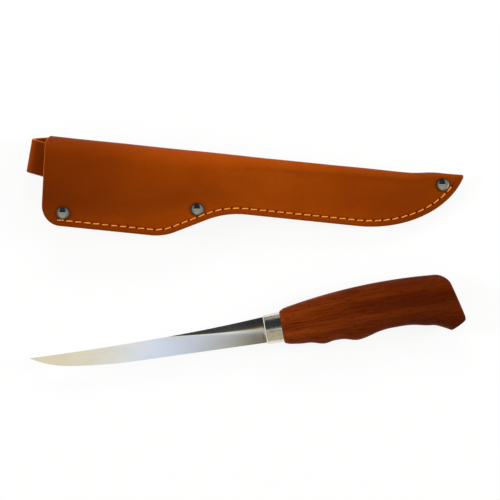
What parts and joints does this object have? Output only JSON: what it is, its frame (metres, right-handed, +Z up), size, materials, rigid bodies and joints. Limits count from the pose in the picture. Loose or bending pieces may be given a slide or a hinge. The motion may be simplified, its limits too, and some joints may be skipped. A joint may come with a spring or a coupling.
{
  "type": "fillet knife with leather sheath",
  "caption": "Fillet knife with a slim upswept blade, oval ferrule and finger-grooved wooden handle, lying beside its folded, stitched and riveted leather sheath with a belt loop.",
  "frame": {"origin": "on the table, at the middle of the area that the knife and its sheath take up", "axes": "+Z up from the table, +X towards the sheath's tip and the knife's butt, +Y from the knife to the sheath"},
  "size_m": [0.2862, 0.1496, 0.0346],
  "materials": {
    "blade_steel": "polished, fine lengthwise grain",
    "ferrule_metal": "polished nickel",
    "handle_wood": "oiled reddish hardwood, satin",
    "epoxy": "set glue",
    "sheath_leather": "smooth saddle brown, semi-gloss",
    "welt_leather": "cut edge, matte",
    "thread": "waxed orange thread",
    "rivet_metal": "polished nickel"
  },
  "bodies": {
    "knife": {"blade": "blade_steel", "ferrule": "ferrule_metal", "handle": "handle_wood", "tang_epoxy": "epoxy"},
    "sheath": {"sheath_leather": "sheath_leather", "seam_welt": "welt_leather", "seam_thread_front": "thread", "seam_thread_back": "thread", "rivet_cap_mouth": "rivet_metal", "rivet_cap_waist": "rivet_metal", "rivet_cap_tip": "rivet_metal", "rivet_post_mouth": "rivet_metal", "rivet_post_waist": "rivet_metal", "rivet_post_tip": "rivet_metal", "belt_loop": "sheath_leather", "belt_loop_thread": "thread"}
  },
  "joints": [
    {"name": "sheath_lift", "type": "slide", "parent": "knife", "child": "sheath", "axis": [0, 0, 1], "range_m": [0, 0.12]}
  ]
}
